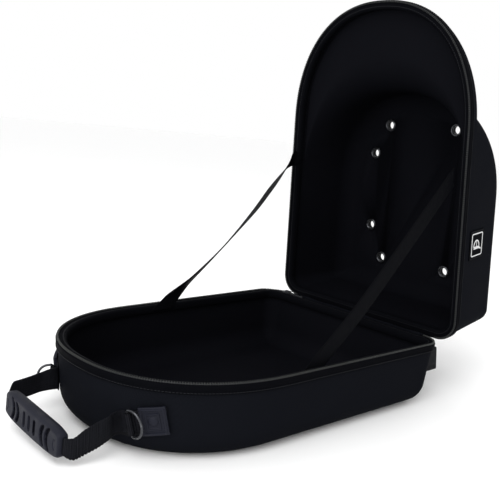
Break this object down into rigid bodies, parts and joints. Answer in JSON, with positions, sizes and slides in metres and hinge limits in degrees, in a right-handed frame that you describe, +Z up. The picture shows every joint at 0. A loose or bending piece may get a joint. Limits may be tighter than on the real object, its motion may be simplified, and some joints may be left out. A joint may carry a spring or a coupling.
{
  "type": "baseball cap carrier case",
  "caption": "Moulded cloth carrier case for baseball caps, shown open: domed lid on a fabric hinge, zip rims, restraint straps, webbing handle with a rubber grip, swinging D-rings.",
  "frame": {"origin": "middle of the tray's flat underside, where the case stands", "axes": "+Z up, +X the case's right side, -Y the rounded front with the handle, +Y the hinge and the open lid"},
  "size_m": [0.285, 0.5853, 0.4718],
  "materials": {
    "shell_cloth": "tight-woven black polyester laminated on moulded foam, smooth lining inside",
    "zip_tape": "woven black binding and zip tape",
    "webbing": "ribbed black polyester webbing",
    "rubber": "matt navy-charcoal moulded rubber",
    "black_metal": "black lacquered steel, slight gloss",
    "zip_coil": "dark grey nylon coil"
  },
  "bodies": {
    "case": {"tray_shell": "shell_cloth", "tray_rim_band": "zip_tape", "tray_zip_coil": "zip_coil", "lid_shell": "shell_cloth", "lid_rim_band": "zip_tape", "lid_zip_coil": "zip_coil", "lid_label": "zip_tape", "eyelet_1": "black_metal", "eyelet_2": "black_metal", "eyelet_3": "black_metal", "eyelet_4": "black_metal", "eyelet_5": "black_metal", "eyelet_6": "black_metal", "eyelet_7": "black_metal", "eyelet_8": "black_metal", "hinge_fabric": "shell_cloth", "strap_right": "webbing", "strap_left": "webbing", "handle_webbing": "webbing", "handle_grip": "rubber", "anchor_patch_right": "rubber", "dring_loop_right": "webbing", "anchor_patch_left": "rubber", "dring_loop_left": "webbing", "rear_tab_right": "webbing", "rear_tab_left": "webbing", "zip_slider": "black_metal"},
    "dring_right_body": {"dring_right": "black_metal"},
    "dring_left_body": {"dring_left": "black_metal"}
  },
  "joints": [
    {"name": "dring_right_swing", "type": "hinge", "parent": "case", "child": "dring_right_body", "pos_m": [0.06894, -0.18484, 0.034], "axis": [-0.1609, -0.2052, 0.9654], "range_deg": [-116, 11]},
    {"name": "dring_left_swing", "type": "hinge", "parent": "case", "child": "dring_left_body", "pos_m": [-0.06894, -0.18484, 0.034], "axis": [0.1609, -0.2052, 0.9654], "range_deg": [-82, 49]}
  ]
}
